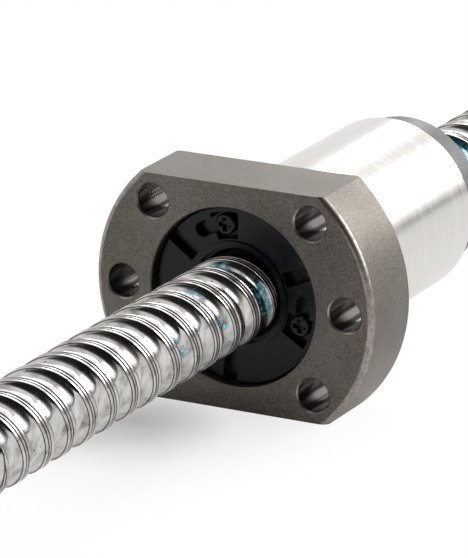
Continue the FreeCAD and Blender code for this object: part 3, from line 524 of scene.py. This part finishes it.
# Each face of the CAD body gets its finish by where its middle lies, in millimetres, and by how
# much it faces along the axis
bolt_circle_radius = 16.0
bolt_hole_radius = 2.25
hole_slack = 0.03
seat_y = 0.05
barrel_from_radius = 11.3
edge_from_radius = 12.5
slanted_from, slanted_to = 0.15, 0.98
bolt_places = [Vector((bolt_circle_radius * math.cos(math.radians(a)), 0,
                       bolt_circle_radius * math.sin(math.radians(a))))
               for a in (-45, 0, 45, 135, 180, 225)]
nut_body.data.materials.clear()
for material in (phosphated_steel, ground_steel, hole_steel_painted_shade, edge_wear_and_highlight):
    nut_body.data.materials.append(material)
for polygon in nut_body.data.polygons:
    centre = polygon.center / MM
    across = Vector((centre.x, 0, centre.z))
    to_bolt = min((across - bolt).length for bolt in bolt_places)
    in_hole = to_bolt < bolt_hole_radius + hole_slack
    on_barrel = centre.y > seat_y and across.length > barrel_from_radius
    slanted = slanted_from < abs(polygon.normal.y) < slanted_to
    on_edge = centre.y < seat_y and across.length > edge_from_radius and slanted
    polygon.material_index = 3 if on_edge else 2 if in_hole else 1 if on_barrel else 0

# ---- The front cap ---------------------------------------------------------------------------
# Injection-moulded in black polyacetal and screwed into the flange's recess. A polished mould
# leaves it dark and glossy, with slight waves about 0.6 mm long.
mould_wave = 0.6
moulded_black, tree = new_material("moulded_black_polyacetal")
place = add_node(tree, "ShaderNodeTexCoord")
ripple = add_node(tree, "ShaderNodeTexNoise", {"Vector": place.outputs["Object"],
                                               "Scale": 1 / (mould_wave * MM), "Detail": 4.0})
gloss = add_node(tree, "ShaderNodeMapRange",
                 {"Value": ripple.outputs["Fac"], "From Min": 0.3, "From Max": 0.7,
                  "To Min": 0.22, "To Max": 0.32})
bumps = add_node(tree, "ShaderNodeBump", {"Height": ripple.outputs["Fac"], "Strength": 0.04,
                                          "Distance": 0.03 * MM})
plastic = add_node(tree, "ShaderNodeBsdfPrincipled",
                   {"Base Color": paint("#101318"), "Roughness": gloss.outputs[0],
                    "Normal": bumps.outputs[0], "IOR": 1.48, "Specular IOR Level": 0.25})
add_node(tree, "ShaderNodeOutputMaterial", {"Surface": plastic.outputs[0]})
front_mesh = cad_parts["front_end_cap"].data
front_mesh.materials.clear()
front_mesh.materials.append(moulded_black)

# ---- The rear cap ----------------------------------------------------------------------------
# Injection-moulded in dark grey polyacetal and screwed into the barrel's end. This is a slimmer
# copy of the CAD cap, nearer the photograph's narrow crescent: outside the barrel its wall is
# drawn in from 11.6 to 11.1 mm and tapers a little to the back.

# An etched mould leaves it satin, with a texture of about 0.5 mm
etch_size = 0.5
moulded_grey, tree = new_material("moulded_grey_polyacetal")
place = add_node(tree, "ShaderNodeTexCoord")
ripple = add_node(tree, "ShaderNodeTexNoise", {"Vector": place.outputs["Object"],
                                               "Scale": 1 / (etch_size * MM), "Detail": 4.0})
bumps = add_node(tree, "ShaderNodeBump", {"Height": ripple.outputs["Fac"], "Strength": 0.1,
                                          "Distance": 0.03 * MM})
shade = add_node(tree, "ShaderNodeValToRGB", {"Fac": ripple.outputs["Fac"]})
set_ramp(shade, [(0.3, "#4a4a4a"), (0.7, "#5a5a59")])
plastic = add_node(tree, "ShaderNodeBsdfPrincipled",
                   {"Base Color": shade.outputs["Color"], "Roughness": 0.45,
                    "Normal": bumps.outputs[0], "IOR": 1.48})
add_node(tree, "ShaderNodeOutputMaterial", {"Surface": plastic.outputs[0]})

rear_shell_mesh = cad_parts["rear_end_cap"].data.copy()
shoulder_y = 33.3
core_radius = 9.0
cad_radius = 11.6
slim_radius = 11.1
draft = 0.06
for vertex in rear_shell_mesh.vertices:
    radius = math.hypot(vertex.co.x, vertex.co.z) / MM
    behind = vertex.co.y / MM - shoulder_y
    if behind > 0 and radius > core_radius:
        share = (radius - core_radius) / (cad_radius - core_radius)
        slim = core_radius + share * (slim_radius - draft * behind - core_radius)
        vertex.co.x *= slim / radius
        vertex.co.z *= slim / radius
rear_shell_mesh.materials.clear()
rear_shell_mesh.materials.append(moulded_grey)
rear_shell = bpy.data.objects.new("rear_cap_shell", rear_shell_mesh)
bpy.context.scene.collection.objects.link(rear_shell)
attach(rear_shell, "nut")
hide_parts("rear_end_cap")


# ---- The cap screws --------------------------------------------------------------------------
# Small steel machine screws with a cross recess, three in each cap. They are blackened in a hot
# oxide bath and oiled, which leaves them near black with a soft shine.
def dress(part_of_name, material):
    """Gives the material to every CAD node whose name holds the words."""
    for name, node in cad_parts.items():
        if part_of_name in name:
            node.data.materials.clear()
            node.data.materials.append(material)


oxide_cloud = 0.3
black_oxide, tree = new_material("black_oxide_steel")
place = add_node(tree, "ShaderNodeTexCoord")
turned = add_node(tree, "ShaderNodeTexNoise", {"Vector": place.outputs["Object"],
                                               "Scale": 1 / (oxide_cloud * MM), "Detail": 3.0})
shade = add_node(tree, "ShaderNodeValToRGB", {"Fac": turned.outputs["Fac"]})
set_ramp(shade, [(0.3, "#1b1c1f"), (0.7, "#2d2e32")])
steel = add_node(tree, "ShaderNodeBsdfPrincipled",
                 {"Base Color": shade.outputs["Color"], "Metallic": 0.8, "Roughness": 0.3})
add_node(tree, "ShaderNodeOutputMaterial", {"Surface": steel.outputs[0]})
dress("cap_screw", black_oxide)

# ---- The wiper rings -------------------------------------------------------------------------
# Moulded rubber rings held in the caps' bores, which keep dirt out of the nut. The rubber is a
# satin black with a faint mottle.
mottle_size = 0.25
wiper_rubber, tree = new_material("wiper_rubber")
place = add_node(tree, "ShaderNodeTexCoord")
mottle = add_node(tree, "ShaderNodeTexNoise", {"Vector": place.outputs["Object"],
                                               "Scale": 1 / (mottle_size * MM), "Detail": 4.0})
shade = add_node(tree, "ShaderNodeValToRGB", {"Fac": mottle.outputs["Fac"]})
set_ramp(shade, [(0.3, "#17181a"), (0.7, "#26282b")])
rubber = add_node(tree, "ShaderNodeBsdfPrincipled", {"Base Color": shade.outputs["Color"],
                                                     "Roughness": 0.55})
add_node(tree, "ShaderNodeOutputMaterial", {"Surface": rubber.outputs[0]})
dress("wiper", wiper_rubber)

# ---- The deflectors --------------------------------------------------------------------------
# Moulded pieces, held in place by the caps, which lead the balls off the screw and into their
# return bores. They are of undyed nylon, so they are cream, with cloudy flow marks.
flow_mark = 1.5
natural_nylon, tree = new_material("natural_nylon")
place = add_node(tree, "ShaderNodeTexCoord")
flow = add_node(tree, "ShaderNodeTexNoise", {"Vector": place.outputs["Object"],
                                             "Scale": 1 / (flow_mark * MM), "Detail": 3.0})
shade = add_node(tree, "ShaderNodeValToRGB", {"Fac": flow.outputs["Fac"]})
set_ramp(shade, [(0.3, "#cfc6b0"), (0.7, "#ddd6c4")])
nylon = add_node(tree, "ShaderNodeBsdfPrincipled", {"Base Color": shade.outputs["Color"],
                                                    "Roughness": 0.4, "IOR": 1.53})
add_node(tree, "ShaderNodeOutputMaterial", {"Surface": nylon.outputs[0]})
dress("deflector", natural_nylon)

# ---- The balls -------------------------------------------------------------------------------
# Chrome-steel balls, hardened and lapped to a mirror, in the raceways and the return bores. A
# thin film of oil clouds the mirror in spots.
oil_spot = 0.8
chrome_steel, tree = new_material("lapped_chrome_steel")
place = add_node(tree, "ShaderNodeTexCoord")
oil = add_node(tree, "ShaderNodeTexNoise", {"Vector": place.outputs["Object"],
                                            "Scale": 1 / (oil_spot * MM), "Detail": 2.0})
gloss = add_node(tree, "ShaderNodeMapRange", {"Value": oil.outputs["Fac"], "To Min": 0.04,
                                              "To Max": 0.12})
steel = add_node(tree, "ShaderNodeBsdfPrincipled", {"Base Color": paint("#dcdcdc"),
                                                    "Metallic": 1.0,
                                                    "Roughness": gloss.outputs[0]})
add_node(tree, "ShaderNodeOutputMaterial", {"Surface": steel.outputs[0]})
dress("balls", chrome_steel)
